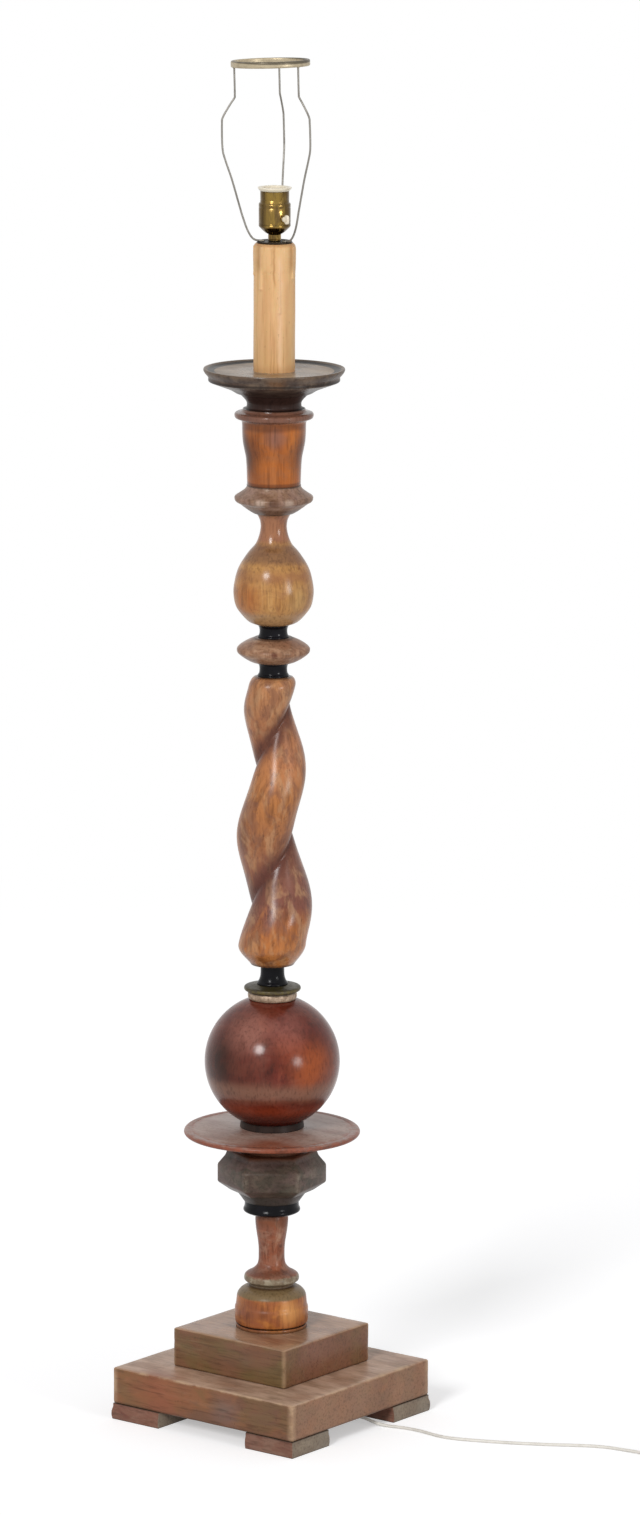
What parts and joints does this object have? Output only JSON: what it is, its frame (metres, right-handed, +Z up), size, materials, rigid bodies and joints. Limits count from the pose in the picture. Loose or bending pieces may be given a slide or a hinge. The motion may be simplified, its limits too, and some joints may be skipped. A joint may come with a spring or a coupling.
{
  "type": "candlestick floor lamp",
  "caption": "Floor lamp of turned wood pieces strung on a lamp tube over a stepped plinth, with a candle sleeve, a keyed lamp holder and a wire shade carrier.",
  "frame": {"origin": "middle of the plinth on the floor, on the lamp tube's axis", "axes": "+Z up along the lamp tube, +X towards the side where the cord leaves, -Y towards the front"},
  "size_m": [0.7002, 0.368, 1.6589],
  "materials": {
    "wood_plinth": "worn oiled wood with paler edges",
    "wood_plinth_top": "polished worn wood",
    "wood_foot": "dusty grey-brown wood",
    "wood_drum": "varnished orange-brown wood",
    "wood_stem": "varnished red-brown wood",
    "wood_knop": "worn grey-brown wood",
    "wood_disc": "worn rose-brown wood",
    "black_lacquer": "glossy black lacquer",
    "wood_ball": "glossy dark red-brown varnish",
    "gilt": "rubbed gilt over wood",
    "wood_twist": "glossy golden-brown varnish",
    "wood_pale": "glossy tan varnish",
    "wood_cup": "glossy orange-brown varnish",
    "wood_ring": "worn greyish brown wood",
    "dark_wood": "dark stained wood",
    "pan_wood": "dark worn wood",
    "candle": "streaked tan candle sleeve",
    "steel": "plain steel",
    "wire_steel": "drawn steel wire",
    "dark_steel": "dark browned plate",
    "brass": "dull aged brass",
    "bright_brass": "bright spring brass",
    "fibre": "insulating card",
    "porcelain": "glazed porcelain",
    "cream_plastic": "aged cream plastic",
    "ivory_key": "ivory plastic",
    "brown_plastic": "moulded brown plastic",
    "cord_white": "pale two-core flex",
    "core_copper": "insulated cores",
    "black_plastic": "moulded black plastic",
    "plug_white": "moulded pale plastic",
    "nickel": "nickel-plated pins"
  },
  "bodies": {
    "lamp": {"foot_front_left": "wood_foot", "foot_front_right": "wood_foot", "foot_back_right": "wood_foot", "foot_back_left": "wood_foot", "foot_screws": "steel", "plinth_lower": "wood_plinth", "plinth_upper": "wood_plinth_top", "plinth_screws": "steel", "base_drum": "wood_drum", "base_stem": "wood_stem", "low_collar": "black_lacquer", "hex_knop": "wood_knop", "wide_disc": "wood_disc", "ball_seat": "dark_wood", "ball": "wood_ball", "gilt_ring": "gilt", "twist_collar_low": "black_lacquer", "twist_column": "wood_twist", "twist_collar_high": "black_lacquer", "flat_bead": "wood_pale", "pear_collar": "black_lacquer", "pear": "wood_pale", "cup_ring": "wood_ring", "candle_cup": "wood_cup", "pan_neck": "dark_wood", "drip_pan": "pan_wood", "pan_washer": "steel", "pan_nut": "brass", "candle_sleeve": "candle", "carrier_plate": "dark_steel", "carrier_wire_left": "wire_steel", "carrier_wire_right": "wire_steel", "carrier_wire_back": "wire_steel", "carrier_ring": "brass", "lamp_tube": "steel", "base_washer": "steel", "base_nut": "brass", "holder_cap": "brass", "holder_shell": "brass", "holder_liner": "fibre", "holder_body": "porcelain", "screw_shell": "bright_brass", "terminal_screws": "nickel", "holder_rim": "cream_plastic", "core_wires": "core_copper", "held_cord": "cord_white", "cord_clamp": "black_plastic", "clamp_screws": "steel", "strain_relief": "black_plastic", "cord_run": "cord_white", "cord_coil": "cord_white", "cord_tail": "cord_white", "coil_tie": "black_plastic", "plug_body": "plug_white", "plug_pins": "nickel"},
    "switch": {"key_spindle": "brass", "switch_key": "ivory_key", "switch_cam": "brown_plastic"},
    "contact": {"centre_contact": "bright_brass"}
  },
  "joints": [
    {"name": "switch_turn", "type": "hinge", "parent": "lamp", "child": "switch", "pos_m": [0, 0, 1.47058], "axis": [0.9397, -0.342, 0], "continuous": true},
    {"name": "contact_press", "type": "hinge", "parent": "lamp", "child": "contact", "pos_m": [-0.0085, 0, 1.48228], "axis": [0, 1, 0], "range_deg": [0, 8], "stiffness_Nm_per_rad": 0.05}
  ]
}
